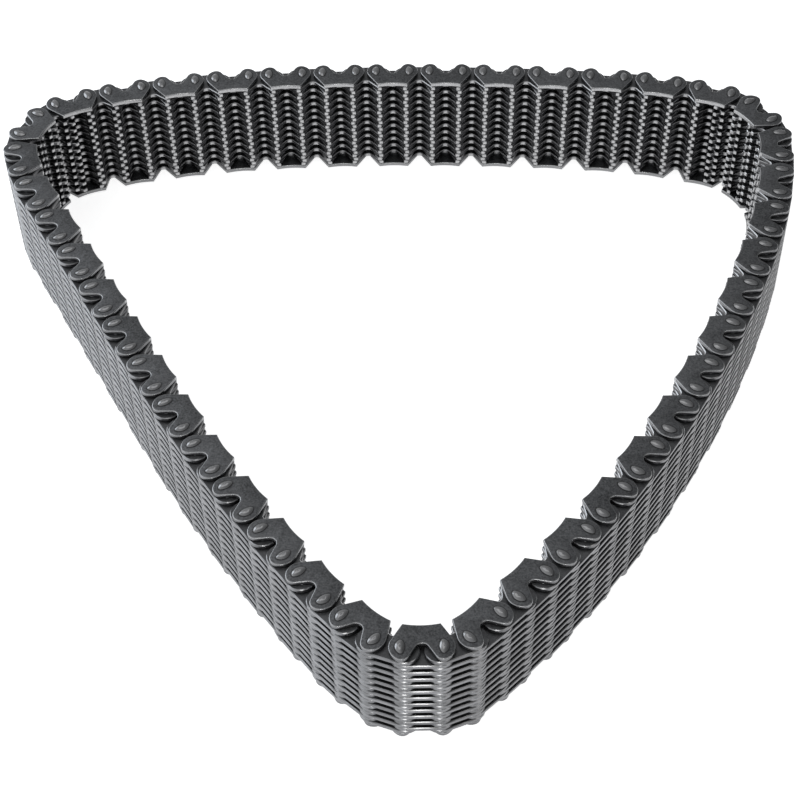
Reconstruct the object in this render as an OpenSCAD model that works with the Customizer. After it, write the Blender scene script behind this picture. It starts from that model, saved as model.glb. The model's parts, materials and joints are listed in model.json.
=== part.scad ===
// Endless silent (inverted-tooth) chain lying on its side, loop laid out as a rounded triangle.
// Millimetres, +Z is the width of the chain, origin at the middle of the underside.
// Guide links and inner links take turns; each pivot holds one long and one short rocker pin.

/* [Chain] */
// Distance between neighbouring pivots
pitch = 9.525; // [8:0.005:12.7]
// Plates in one inner link, the guide link has one fewer between its two guide plates
inner_plates = 12; // [6:1:16]
// Thickness of every plate
plate_t = 1.42; // [1:0.01:2]
// Gap between neighbouring plates across the width
layer_gap = 0.11; // [0.08:0.01:0.3]
// Gap between the ends of two following plates in one layer
end_gap = 0.9; // [0.5:0.05:1.6]

/* [Plate outline] */
// Depth of the tooth tips below the pivot line
tooth_depth = 7.5; // [6.5:0.05:9]
// How far the outer corner of a guide plate's tip lies beyond the pivot, along the chain
tip_overhang = 0.44; // [0.1:0.01:0.8]
// How far the outer corner of a link plate's toe lies beyond the pivot, along the chain
toe_overhang = 0.8; // [0.4:0.01:1]
// Height of the crotch between the two teeth of an inner plate
crotch_height = 4.1; // [3:0.05:4.6]
// Radius at the top of the crotch
crotch_r = 1.7; // [1:0.05:2]
// Lean of the crotch walls from the plate's centre line
crotch_angle = 42; // [30:1:44]
// Hollow of the guide plate's inner edge
edge_hollow = 0.55; // [0.2:0.05:1]
// Depth of the guide plate's back notch below the pivot line
notch_depth = 1.1; // [0.4:0.05:2]
// Radius at the foot of the notch
notch_r = 1.9; // [1:0.05:2.2]
// Lean of the notch walls from the plate's centre line
notch_angle = 32; // [18:1:36]
// Radius of the shoulder beside the notch
shoulder_r = 2.4; // [1:0.1:2.8]

/* [Rocker pins] */
// Radius of a pin's back, measured from the pivot
pin_r = 2.3; // [1.8:0.05:2.6]
// Radius of a pin's rocking face
rocker_r = 3.4; // [3:0.1:3.8]
// Space between the two rocking faces of a pivot on a straight run
rocker_gap = 0.3; // [0.25:0.01:0.4]
// How far the riveted heads of a long pin stand out of its guide plates
pin_proud = 0.5; // [0.3:0.05:0.7]
// How far a riveted head spreads beyond the pin's section
head_spread = 0.25; // [0.2:0.05:0.6]
// Radius that takes the two horns off a riveted head
head_r = 2.25; // [2.2:0.05:2.6]
// Clearance of the pins in the round pin holes
hole_gap = 0.1; // [0.1:0.01:0.2]
// Clearance of a long pin in its guide plates
rivet_gap = 0.03; // [0.02:0.01:0.06]
// Extra clearance of both pins at the one pivot that is left open
open_gap = 0.1; // [0.05:0.01:0.2]

/* [Loop layout] */
// Direction of the first guide link of the back run
start_heading = 11.8; // [0:0.1:20]
// Bend at each pivot of the back run, left end
back_left_bend = 1.6; // [0:0.1:4]
// Bend at each pivot of the back run, middle
back_mid_bend = 0.75; // [0:0.05:2]
// Bend at each pivot of the back run, right end
back_right_bend = 3.3; // [0:0.1:5]
// Bend at each pivot below the right corner
right_shoulder_bend = 3.5; // [0:0.1:6]
// Bend at each pivot of the right run
right_run_bend = 1.3; // [0:0.1:2]
// Bend at each pivot of the right run, front end
right_front_bend = 1.65; // [0:0.05:4]
// Bend at each pivot left of the front corner
front_shoulder_bend = 5.2; // [0:0.1:8]
// Bend at each pivot of the left run, front half
left_front_bend = 0.9; // [0:0.05:2]
// Bend at each pivot of the left run, back half
left_back_bend = 0; // [-0.5:0.05:1]
// Bend at each pivot below the left corner
left_shoulder_bend = 6.2; // [0:0.1:8]
// Bend at each pivot above the left corner
left_top_bend = 5.4; // [0:0.1:8]

/* [Hidden] */
$fn = 96;
guide_colour = "DimGray";
plate_colour = "Gray";
pin_colour = "SlateGray";

half_pitch = pitch / 2;
lobe_r = (pitch - end_gap) / 2;
hole_r = pin_r + hole_gap;
edge_x = half_pitch + tip_overhang;
head_x = half_pitch + (rocker_gap / 2 + pin_r) / 2;
head_height = pin_proud - rivet_gap;
pin_root = pin_proud / 2;
layers = 2 * inner_plates + 1;
layer_pitch = plate_t + layer_gap;
stack_width = layers * plate_t + (layers - 1) * layer_gap;
full_width = stack_width + 2 * pin_proud;
open_pivot = 11;
spill = 1;
// Where a straight edge runs into a round one they cross by this much, so no sliver is left
bite = 0.005;

// Lean of the straight flank that runs from a tooth tip into the round lobe
function flank_angle(overhang) =
    asin(lobe_r / norm([overhang, tooth_depth])) - atan2(overhang, tooth_depth);
back_y = lobe_r - bite;

// Crotch of the link plates
crotch_y = crotch_height - tooth_depth - crotch_r;
crotch_side_x = (crotch_r - bite) * cos(crotch_angle);
crotch_side_y = crotch_y + (crotch_r - bite) * sin(crotch_angle);
crotch_foot_y = -tooth_depth - spill;
crotch_foot_x = crotch_side_x + (crotch_side_y - crotch_foot_y) * tan(crotch_angle);

// Back notch of the guide plates and the shoulder that rounds it into the lobe
notch_y = notch_r - notch_depth;
notch_side_x = (notch_r - bite) * cos(notch_angle);
notch_side_y = notch_y - (notch_r - bite) * sin(notch_angle);
notch_top_y = lobe_r + spill;
notch_top_x = notch_side_x + (notch_top_y - notch_side_y) * tan(notch_angle);
pivot_to_wall = half_pitch * cos(notch_angle) + notch_y * sin(notch_angle) - (notch_r - bite);
shoulder_reach = lobe_r - shoulder_r;
shoulder_angle = acos((shoulder_r - pivot_to_wall) / shoulder_reach) - notch_angle;
shoulder_x = half_pitch + shoulder_reach * cos(shoulder_angle);
shoulder_y = shoulder_reach * sin(shoulder_angle);
wall_touch_x = shoulder_x - shoulder_r * cos(notch_angle);
wall_touch_y = shoulder_y + shoulder_r * sin(notch_angle);
lobe_touch_x = half_pitch + lobe_r * cos(shoulder_angle);
lobe_touch_y = lobe_r * sin(shoulder_angle);
edge_r = (edge_x * edge_x + edge_hollow * edge_hollow) / (2 * edge_hollow);

// Loop: pivots in each stretch and the bend at each of them, clockwise seen from above.
// The three corner bends follow from the runs, because the loop has to close.
corner_pivots = 4;
function stretches(right, front, left) = [
    [6, back_left_bend],
    [12, back_mid_bend],
    [4, back_right_bend],
    [corner_pivots, right],
    [4, right_shoulder_bend],
    [14, right_run_bend],
    [6, right_front_bend],
    [corner_pivots, front],
    [2, front_shoulder_bend],
    [10, left_front_bend],
    [10, left_back_bend],
    [2, left_shoulder_bend],
    [corner_pivots, left],
    [2, left_top_bend]
];
function total(list) = list * [for (v = list) 1];
run_bends = total([for (s = stretches(0, 0, 0)) s[0] * s[1]]);
function left_bend(right, front) = (360 - run_bends) / corner_pivots - right - front;
function bends(right, front) = [
    for (s = stretches(right, front, left_bend(right, front))) each [for (k = [1:s[0]]) s[1]]
];
function headings(list) = [for (i = 0, a = start_heading; i < len(list); a = a - list[i], i = i + 1) a];
function end_gap_of(angles) = [total([for (a = angles) cos(a)]), total([for (a = angles) sin(a)])];
function miss(corner) = end_gap_of(headings(bends(corner[0], corner[1])));
nudge = 0.01;
function solve(corner, steps) =
    steps == 0 ? corner :
    let (m = miss(corner))
    let (dr = (miss(corner + [nudge, 0]) - m) / nudge)
    let (df = (miss(corner + [0, nudge]) - m) / nudge)
    let (det = dr[0] * df[1] - dr[1] * df[0])
    let (right = (m[0] * df[1] - m[1] * df[0]) / det)
    let (front = (dr[0] * m[1] - dr[1] * m[0]) / det)
    solve(corner - [right, front], steps - 1);
first_guess = [19, 21];
corners = solve(first_guess, 8);
heading = headings(bends(corners[0], corners[1]));
function step_of(i) = pitch * [cos(heading[i]), sin(heading[i])];
pivots = [for (i = 0, q = [0, 0]; i < len(heading); q = q + step_of(i), i = i + 1) q];
xs = [for (q = pivots) q[0]];
ys = [for (q = pivots) q[1]];
centre = [(min(xs) + max(xs)) / 2, (min(ys) + max(ys)) / 2];
function guide_index(k) = 2 * (k - 1);
function inner_index(k) = 2 * k - 1;

// Outline that every plate starts from: two lobes about the pivots, flanks down to the tips
module blank_2d(overhang) {
    tip_x = half_pitch + overhang;
    flank_x = half_pitch + (lobe_r - bite) * cos(flank_angle(overhang));
    flank_y = -(lobe_r - bite) * sin(flank_angle(overhang));
    polygon([
        [-tip_x, -tooth_depth],
        [tip_x, -tooth_depth],
        [flank_x, flank_y],
        [half_pitch, back_y],
        [-half_pitch, back_y],
        [-flank_x, flank_y]
    ]);
    translate([half_pitch, 0]) circle(r = lobe_r);
    translate([-half_pitch, 0]) circle(r = lobe_r);
}

module crotch_2d() {
    translate([0, crotch_y]) circle(r = crotch_r);
    polygon([
        [-crotch_foot_x, crotch_foot_y],
        [crotch_foot_x, crotch_foot_y],
        [crotch_side_x, crotch_side_y],
        [-crotch_side_x, crotch_side_y]
    ]);
}

module link_plate_2d() {
    difference() {
        blank_2d(toe_overhang);
        crotch_2d();
        translate([half_pitch, 0]) circle(r = hole_r);
        translate([-half_pitch, 0]) circle(r = hole_r);
    }
}

module notch_2d() {
    translate([0, notch_y]) circle(r = notch_r);
    polygon([
        [-notch_side_x, notch_side_y],
        [notch_side_x, notch_side_y],
        [notch_top_x, notch_top_y],
        [-notch_top_x, notch_top_y]
    ]);
}

// The corner that the shoulder's round takes off between the notch wall and the lobe
module shoulder_cut_2d() {
    difference() {
        polygon([
            [shoulder_x, shoulder_y],
            [wall_touch_x, wall_touch_y],
            [wall_touch_x, notch_top_y],
            [lobe_touch_x, notch_top_y],
            [lobe_touch_x, lobe_touch_y]
        ]);
        translate([shoulder_x, shoulder_y]) circle(r = shoulder_r + bite);
    }
}

// Section of a rocker pin at the right-hand pivot, with its rocking face towards the link's middle
module pin_2d(back_r, face_r) {
    translate([half_pitch, 0]) intersection() {
        circle(r = back_r);
        translate([rocker_gap / 2 + rocker_r, 0]) circle(r = face_r);
    }
}

module guide_plate_2d() {
    difference() {
        blank_2d(tip_overhang);
        translate([0, -tooth_depth + edge_hollow - edge_r]) circle(r = edge_r);
        notch_2d();
        shoulder_cut_2d();
        mirror([1, 0]) shoulder_cut_2d();
        pin_2d(pin_r + rivet_gap, rocker_r + rivet_gap);
        mirror([1, 0]) pin_2d(pin_r + rivet_gap, rocker_r + rivet_gap);
    }
}

module at_link(i) {
    place = pivots[i] + step_of(i) / 2 - centre;
    translate([place[0], place[1], pin_proud]) rotate([0, 0, heading[i]]) children();
}

module layer(k) {
    translate([0, 0, k * layer_pitch]) linear_extrude(height = plate_t) children();
}

module guide_plate_at(k, level) {
    at_link(guide_index(k)) layer(level) guide_plate_2d();
}

module guide_rank_plates(k) {
    for (level = [2:2:layers - 3]) {
        at_link(guide_index(k)) layer(level) link_plate_2d();
    }
}

module inner_rank_plates(k) {
    for (level = [1:2:layers - 2]) {
        at_link(inner_index(k)) layer(level) link_plate_2d();
    }
}

// Pins are thinner at the open pivot
function back_radius(pivot) = pivot == open_pivot ? pin_r - open_gap : pin_r;
function face_radius(pivot) = pivot == open_pivot ? rocker_r - open_gap : rocker_r;
function pivot_before(i) = (i + len(heading) - 1) % len(heading);

module pin_shank(pivot, foot, length) {
    translate([0, 0, foot]) linear_extrude(height = length) {
        pin_2d(back_radius(pivot), face_radius(pivot));
    }
}

// Head that a long pin's end is riveted into, on the face of a guide plate
module rivet_head(foot) {
    translate([0, 0, foot]) linear_extrude(height = head_height) intersection() {
        pin_2d(pin_r + head_spread, rocker_r + head_spread);
        translate([head_x, 0]) circle(r = head_r);
    }
}

module long_pin(pivot) {
    union() {
        pin_shank(pivot, -pin_root, stack_width + 2 * pin_root);
        rivet_head(-pin_proud);
        rivet_head(stack_width + rivet_gap);
    }
}

module short_pin(pivot) {
    pin_shank(pivot, layer_pitch, stack_width - 2 * layer_pitch);
}

// A link's right-hand pin, and half a turn on its left-hand one
module long_pins(k) {
    at_link(guide_index(k)) long_pin(guide_index(k));
    at_link(guide_index(k)) rotate([0, 0, 180]) long_pin(pivot_before(guide_index(k)));
}

module short_pins(k) {
    at_link(inner_index(k)) short_pin(inner_index(k));
    at_link(inner_index(k)) rotate([0, 0, 180]) short_pin(pivot_before(inner_index(k)));
}

module guide_link(k) {
    color(guide_colour) guide_plate_at(k, 0);
    color(guide_colour) guide_plate_at(k, layers - 1);
    color(plate_colour) guide_rank_plates(k);
    color(pin_colour) long_pins(k);
}

module inner_link(k) {
    color(plate_colour) inner_rank_plates(k);
    color(pin_colour) short_pins(k);
}

module guide_link_01() {
    guide_link(1);
}

module inner_link_01() {
    inner_link(1);
}

module link_pair_02() {
    guide_link(2);
    inner_link(2);
}

module link_pair_03() {
    guide_link(3);
    inner_link(3);
}

module link_pair_04() {
    guide_link(4);
    inner_link(4);
}

module link_pair_05() {
    guide_link(5);
    inner_link(5);
}

module link_pair_06() {
    guide_link(6);
    inner_link(6);
}

module link_pair_07() {
    guide_link(7);
    inner_link(7);
}

module link_pair_08() {
    guide_link(8);
    inner_link(8);
}

module link_pair_09() {
    guide_link(9);
    inner_link(9);
}

module link_pair_10() {
    guide_link(10);
    inner_link(10);
}

module link_pair_11() {
    guide_link(11);
    inner_link(11);
}

module guide_link_12() {
    guide_link(12);
}

module inner_link_12() {
    inner_link(12);
}

module guide_link_13() {
    guide_link(13);
}

module inner_link_13() {
    inner_link(13);
}

module guide_link_14() {
    guide_link(14);
}

module inner_link_14() {
    inner_link(14);
}

module guide_link_15() {
    guide_link(15);
}

module inner_link_15() {
    inner_link(15);
}

module link_pair_16() {
    guide_link(16);
    inner_link(16);
}

module link_pair_17() {
    guide_link(17);
    inner_link(17);
}

module link_pair_18() {
    guide_link(18);
    inner_link(18);
}

module link_pair_19() {
    guide_link(19);
    inner_link(19);
}

module link_pair_20() {
    guide_link(20);
    inner_link(20);
}

module link_pair_21() {
    guide_link(21);
    inner_link(21);
}

module link_pair_22() {
    guide_link(22);
    inner_link(22);
}

module link_pair_23() {
    guide_link(23);
    inner_link(23);
}

module link_pair_24() {
    guide_link(24);
    inner_link(24);
}

module guide_link_25() {
    guide_link(25);
}

module inner_link_25() {
    inner_link(25);
}

module guide_link_26() {
    guide_link(26);
}

module inner_link_26() {
    inner_link(26);
}

module guide_plate_top_27() {
    color(guide_colour) guide_plate_at(27, layers - 1);
}

module guide_plate_bottom_27() {
    color(guide_colour) guide_plate_at(27, 0);
}

module link_plates_27() {
    color(plate_colour) guide_rank_plates(27);
}

module long_pins_27() {
    color(pin_colour) long_pins(27);
}

module inner_plates_27() {
    color(plate_colour) inner_rank_plates(27);
}

module short_pins_27() {
    color(pin_colour) short_pins(27);
}

module guide_link_28() {
    guide_link(28);
}

module inner_link_28() {
    inner_link(28);
}

module guide_link_29() {
    guide_link(29);
}

module inner_link_29() {
    inner_link(29);
}

module link_pair_30() {
    guide_link(30);
    inner_link(30);
}

module link_pair_31() {
    guide_link(31);
    inner_link(31);
}

module link_pair_32() {
    guide_link(32);
    inner_link(32);
}

module link_pair_33() {
    guide_link(33);
    inner_link(33);
}

module link_pair_34() {
    guide_link(34);
    inner_link(34);
}

module link_pair_35() {
    guide_link(35);
    inner_link(35);
}

module link_pair_36() {
    guide_link(36);
    inner_link(36);
}

module link_pair_37() {
    guide_link(37);
    inner_link(37);
}

module link_pair_38() {
    guide_link(38);
    inner_link(38);
}

module guide_link_39() {
    guide_link(39);
}

module inner_link_39() {
    inner_link(39);
}

module guide_link_40() {
    guide_link(40);
}

module inner_link_40() {
    inner_link(40);
}

module guide_link_41() {
    guide_link(41);
}

module inner_link_41() {
    inner_link(41);
}

module guide_link_42() {
    guide_link(42);
}

module inner_link_42() {
    inner_link(42);
}

guide_link_01();
inner_link_01();
link_pair_02();
link_pair_03();
link_pair_04();
link_pair_05();
link_pair_06();
link_pair_07();
link_pair_08();
link_pair_09();
link_pair_10();
link_pair_11();
guide_link_12();
inner_link_12();
guide_link_13();
inner_link_13();
guide_link_14();
inner_link_14();
guide_link_15();
inner_link_15();
link_pair_16();
link_pair_17();
link_pair_18();
link_pair_19();
link_pair_20();
link_pair_21();
link_pair_22();
link_pair_23();
link_pair_24();
guide_link_25();
inner_link_25();
guide_link_26();
inner_link_26();
guide_plate_top_27();
guide_plate_bottom_27();
link_plates_27();
long_pins_27();
inner_plates_27();
short_pins_27();
guide_link_28();
inner_link_28();
guide_link_29();
inner_link_29();
link_pair_30();
link_pair_31();
link_pair_32();
link_pair_33();
link_pair_34();
link_pair_35();
link_pair_36();
link_pair_37();
link_pair_38();
guide_link_39();
inner_link_39();
guide_link_40();
inner_link_40();
guide_link_41();
inner_link_41();
guide_link_42();
inner_link_42();
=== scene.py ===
"""Visual model of an endless silent chain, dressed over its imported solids.

Four shapes make the whole chain: the link plate, the guide plate, the rocker pin and its
riveted head. Each is modelled in millimetres and copied to every link of the loop, in metres.
"""

import json
import logging
import math
from collections.abc import Iterable
from dataclasses import dataclass, field
from enum import Enum

import bmesh
import bpy
import numpy as np
from mathutils import Matrix, Vector

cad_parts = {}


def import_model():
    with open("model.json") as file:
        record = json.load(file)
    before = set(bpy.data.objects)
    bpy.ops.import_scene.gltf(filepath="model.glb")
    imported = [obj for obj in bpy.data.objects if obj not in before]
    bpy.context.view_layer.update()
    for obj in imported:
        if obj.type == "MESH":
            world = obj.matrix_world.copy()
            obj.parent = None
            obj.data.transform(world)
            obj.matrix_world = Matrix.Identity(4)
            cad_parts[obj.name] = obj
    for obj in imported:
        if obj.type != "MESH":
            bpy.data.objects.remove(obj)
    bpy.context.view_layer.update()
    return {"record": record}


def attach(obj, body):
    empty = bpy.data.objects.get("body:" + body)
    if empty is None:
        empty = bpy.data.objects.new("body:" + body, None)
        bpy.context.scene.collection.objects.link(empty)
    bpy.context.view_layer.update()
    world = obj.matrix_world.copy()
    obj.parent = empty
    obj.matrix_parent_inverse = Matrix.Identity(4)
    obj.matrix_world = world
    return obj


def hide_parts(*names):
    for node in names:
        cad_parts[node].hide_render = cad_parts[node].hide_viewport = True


LOG = logging.getLogger("chain")

# Stampings and the layout are in millimetres; a finished piece is in metres.
MM = 0.001
PITCH = 9.525
PUNCH_REACH = 1.0
LEVEL_TOLERANCE = 1e-4

# Upright share of a face's normal: below the first it is a wall, past the second it lies flat.
WALL_TILT = 0.12
FLAT_TILT = 0.9995

# Factors of the sine that scatters a fixed tone over the plates.
TONE_PER_LINK = 12.9898
TONE_PER_LEVEL = 78.233
TONE_SPREAD = 43758.5453

Point = tuple[float, float]
Place = tuple[float, float, float]
Colour = tuple[float, float, float]


class Slot(Enum):
    """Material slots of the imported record."""

    GUIDE_PLATE = "guide_plate"
    LINK_PLATE = "link_plate"
    ROCKER_PIN = "rocker_pin"


class Rank(Enum):
    """The two kinds of link that take turns round the loop."""

    GUIDE = "guide"
    INNER = "inner"


class Element(Enum):
    """Elements of a mesh that a hand operation picks."""

    EDGE = "EDGE"
    FACE = "FACE"


def arc(centre: Point, radius: float, start: float, end: float, steps: int) -> list[Point]:
    """Points along a circular arc.

    Args:
        centre: Middle of the circle.
        radius: Its radius.
        start: First angle in degrees.
        end: Last angle in degrees.
        steps: Number of straight steps.

    Returns:
        The steps + 1 points, both ends included.
    """
    angles = [math.radians(start + (end - start) * k / steps) for k in range(steps + 1)]
    return [(centre[0] + radius * math.cos(a), centre[1] + radius * math.sin(a)) for a in angles]


def mirrored(points: Iterable[Point]) -> list[Point]:
    """The points reflected in the plate's centre line, in reverse order."""
    return [(-x, y) for x, y in reversed(list(points))]


def crossing(first: float, first_r: float, second: float, second_r: float) -> Point:
    """Upper crossing of two circles whose centres lie on the X axis.

    Args:
        first: Centre of the first circle.
        first_r: Its radius.
        second: Centre of the second circle.
        second_r: Its radius.

    Returns:
        The crossing point.
    """
    gap = second - first
    along = (first_r**2 - second_r**2 + gap**2) / (2 * gap)
    return (first + along, math.sqrt(first_r**2 - along**2))


def bearing(centre: float, point: Point) -> float:
    """Angle in degrees from a centre on the X axis to a point."""
    return math.degrees(math.atan2(point[1], point[0] - centre))


def raised(height: float) -> Matrix:
    """A move straight up."""
    return Matrix.Translation((0.0, 0.0, height))


class Bench:
    """Hand operations that the stampings are modelled with."""

    @staticmethod
    def clear() -> None:
        """Leaves edit mode and deselects everything."""
        if bpy.context.object is not None and bpy.context.object.mode != "OBJECT":
            bpy.ops.object.mode_set(mode="OBJECT")
        bpy.ops.object.select_all(action="DESELECT")

    @staticmethod
    def hold(blank: bpy.types.Object) -> None:
        """Makes one object the only selected and active one."""
        Bench.clear()
        blank.select_set(True)
        bpy.context.view_layer.objects.active = blank

    @staticmethod
    def blank(name: str, outline: list[Point], foot: float, height: float) -> bpy.types.Object:
        """Shapes a filled ring to an outline and extrudes it.

        Args:
            name: Name of the new object.
            outline: Points of the section, anticlockwise.
            foot: Height of the underside.
            height: Extruded height.

        Returns:
            The solid blank.
        """
        Bench.clear()
        bpy.ops.mesh.primitive_circle_add(
            vertices=len(outline), radius=1.0, fill_type="NGON", location=(0.0, 0.0, 0.0)
        )
        made = bpy.context.object
        made.name = name
        for vertex, (x, y) in zip(made.data.vertices, outline, strict=True):
            vertex.co = (x, y, foot)
        bpy.ops.object.mode_set(mode="EDIT")
        bpy.ops.mesh.select_all(action="SELECT")
        bpy.ops.mesh.extrude_region_move(TRANSFORM_OT_translate={"value": (0.0, 0.0, height)})
        bpy.ops.mesh.select_all(action="SELECT")
        bpy.ops.mesh.normals_make_consistent(inside=False)
        bpy.ops.object.mode_set(mode="OBJECT")
        return made

    @staticmethod
    def pick(blank: bpy.types.Object, element: Element, heights: tuple[float, ...]) -> None:
        """Selects the edges or faces that lie level at certain heights, and stays in edit mode.

        Args:
            blank: Object to work on.
            element: Whether edges or faces are picked.
            heights: Heights to pick at.
        """
        Bench.hold(blank)
        bpy.ops.object.mode_set(mode="EDIT")
        bpy.ops.mesh.select_mode(type=element.value)
        bpy.ops.mesh.select_all(action="DESELECT")
        mesh = bmesh.from_edit_mesh(blank.data)
        for item in mesh.edges if element is Element.EDGE else mesh.faces:
            levels = [corner.co.z for corner in item.verts]
            misses = [max(abs(level - height) for level in levels) for height in heights]
            item.select_set(min(misses) < LEVEL_TOLERANCE)
        mesh.select_flush_mode()
        bmesh.update_edit_mesh(blank.data)

    @staticmethod
    def round_edges(
        blank: bpy.types.Object, heights: tuple[float, ...], width: float, segments: int
    ) -> None:
        """Rounds the edges that run level at certain heights.

        Args:
            blank: Object to work on.
            heights: Heights of the edges.
            width: Width of the round.
            segments: Steps across it.
        """
        Bench.pick(blank, Element.EDGE, heights)
        bpy.ops.mesh.bevel(
            offset=width,
            offset_type="OFFSET",
            segments=segments,
            profile=0.5,
            affect="EDGES",
            clamp_overlap=True,
        )
        bpy.ops.object.mode_set(mode="OBJECT")

    @staticmethod
    def punch(blank: bpy.types.Object, outline: list[Point], thickness: float) -> None:
        """Cuts a hole right through a plate.

        Args:
            blank: Plate to cut, with its underside at height 0.
            outline: Points of the hole.
            thickness: Thickness of the plate.
        """
        tool = Bench.blank("punch", outline, -PUNCH_REACH, thickness + 2 * PUNCH_REACH)
        Bench.hold(blank)
        cut = blank.modifiers.new("punch", "BOOLEAN")
        cut.operation = "DIFFERENCE"
        cut.solver = "EXACT"
        cut.object = tool
        bpy.ops.object.modifier_apply(modifier=cut.name)
        bpy.data.meshes.remove(tool.data)

    @staticmethod
    def crown(blank: bpy.types.Object, middle: Vector, share: float, rise: float) -> None:
        """Raises a narrower copy of the flat face at one height.

        Args:
            blank: Object to work on.
            middle: Middle of the face.
            share: Size of the raised face, as a share of the old one.
            rise: How far it is raised.
        """
        Bench.pick(blank, Element.FACE, (middle.z,))
        bpy.ops.mesh.extrude_region_move(TRANSFORM_OT_translate={"value": (0.0, 0.0, rise)})
        bpy.ops.transform.resize(value=(share, share, 1.0), center_override=middle)
        bpy.ops.object.mode_set(mode="OBJECT")


@dataclass
class Stamping:
    """One modelled piece as plain arrays, ready to be copied to its places."""

    points: np.ndarray
    faces: list[tuple[int, ...]]
    wall: np.ndarray
    rim: np.ndarray

    @classmethod
    def taken_from(cls, blank: bpy.types.Object) -> "Stamping":
        """Reads a finished blank and throws it away.

        Args:
            blank: Modelled object, in millimetres.

        Returns:
            Its points and faces, with the walls and rounded rims marked.
        """
        mesh = blank.data
        points = np.array([vertex.co for vertex in mesh.vertices])
        faces = [tuple(face.vertices) for face in mesh.polygons]
        upright = np.array([abs(face.normal.z) for face in mesh.polygons])
        wall = (upright < WALL_TILT).astype(float)
        rim = ((upright >= WALL_TILT) & (upright <= FLAT_TILT)).astype(float)
        bpy.data.meshes.remove(mesh)
        return cls(points, faces, wall, rim)


@dataclass
class Copy:
    """One copy of a stamping: where it goes and how light it is."""

    stamping: Stamping
    place: Matrix
    tone: float


@dataclass
class PlateBlank:
    """Sizes that both kinds of plate share, in millimetres."""

    pitch: float = PITCH
    thickness: float = 1.42
    end_gap: float = 0.9
    tooth_depth: float = 7.5
    tip_overhang: float = 0.44
    skin: float = 0.005

    @property
    def pivot_x(self) -> float:
        """Distance of a pivot from the plate's middle."""
        return self.pitch / 2

    @property
    def lobe_r(self) -> float:
        """Radius of the round lobe about a pivot."""
        return (self.pitch - self.end_gap) / 2 - self.skin

    @property
    def tip_x(self) -> float:
        """Distance of a tooth tip's outer corner from the plate's middle."""
        return self.pivot_x + self.tip_overhang

    @property
    def flank_angle(self) -> float:
        """Angle below the pivot line where the straight flank leaves the lobe, in degrees."""
        reach = math.hypot(self.tip_overhang, self.tooth_depth)
        lean = math.atan2(self.tip_overhang, self.tooth_depth)
        return math.degrees(math.asin(self.lobe_r / reach) - lean)

    @property
    def face_heights(self) -> tuple[float, float]:
        """Heights of the lower and the upper face."""
        return (0.0, self.thickness)


@dataclass
class LinkPlate(PlateBlank):
    """Toothed plate with a V crotch between its two teeth and round pin holes."""

    tip_overhang: float = 0.8
    crotch_height: float = 4.1
    crotch_r: float = 1.7
    crotch_angle: float = 42.0
    hole_r: float = 2.4
    hole_sides: int = 10
    arc_steps: int = 6
    edge_round: float = 0.23
    edge_segments: int = 1

    def outline(self) -> list[Point]:
        """The plate's outline, anticlockwise from the left tooth tip."""
        top_y = self.crotch_height - self.tooth_depth - self.crotch_r
        lean = math.radians(self.crotch_angle)
        side_x = self.crotch_r * math.cos(lean)
        side_y = top_y + self.crotch_r * math.sin(lean)
        mouth_x = side_x + (side_y + self.tooth_depth) * math.tan(lean)
        sides = (180.0 - self.crotch_angle, self.crotch_angle)
        apex = arc((0.0, top_y), self.crotch_r, *sides, self.arc_steps)
        right = arc((self.pivot_x, 0.0), self.lobe_r, -self.flank_angle, 90.0, self.arc_steps)
        return [
            (-self.tip_x, -self.tooth_depth),
            (-mouth_x, -self.tooth_depth),
            *apex,
            (mouth_x, -self.tooth_depth),
            (self.tip_x, -self.tooth_depth),
            *right,
            *mirrored(right),
        ]

    def build(self) -> Stamping:
        """Models the plate: outline, rounded edges, then the two pin holes.

        Returns:
            The finished stamping.
        """
        plate = Bench.blank("link_plate", self.outline(), 0.0, self.thickness)
        Bench.round_edges(plate, self.face_heights, self.edge_round, self.edge_segments)
        reach = self.hole_r / math.cos(math.pi / self.hole_sides)
        for side in (-1.0, 1.0):
            ring = arc((side * self.pivot_x, 0.0), reach, 0.0, 360.0, self.hole_sides)[:-1]
            Bench.punch(plate, ring, self.thickness)
        return Stamping.taken_from(plate)


@dataclass
class RockerPin:
    """Lens-shaped pin that rolls on its twin, section at the right-hand pivot of a link."""

    pivot_x: float = PITCH / 2
    back_r: float = 2.3
    rocker_r: float = 3.4
    rocker_gap: float = 0.3
    end_round: float = 0.15
    end_segments: int = 1
    steps: int = 9

    @property
    def rocker_x(self) -> float:
        """Distance of the rocking face's centre from the link's middle."""
        return self.pivot_x + self.rocker_gap / 2 + self.rocker_r

    def section(self, grow: float) -> list[Point]:
        """The lens section, anticlockwise.

        Args:
            grow: Width added all round, less than 0 for a slimmer pin.

        Returns:
            Points of the back and of the rocking face.
        """
        back, face = self.back_r + grow, self.rocker_r + grow
        horn = crossing(self.pivot_x, back, self.rocker_x, face)
        turn, lean = bearing(self.pivot_x, horn), bearing(self.rocker_x, horn)
        rear = arc((self.pivot_x, 0.0), back, -turn, turn, self.steps)
        front = arc((self.rocker_x, 0.0), face, lean, 360.0 - lean, self.steps)
        return rear + front[1:-1]

    def build(self, foot: float, length: float, grow: float) -> Stamping:
        """Models a pin with small end chamfers.

        Args:
            foot: Height of its lower end.
            length: Its length.
            grow: Width added all round.

        Returns:
            The finished stamping.
        """
        pin = Bench.blank("rocker_pin", self.section(grow), foot, length)
        Bench.round_edges(pin, (foot, foot + length), self.end_round, self.end_segments)
        return Stamping.taken_from(pin)


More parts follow.
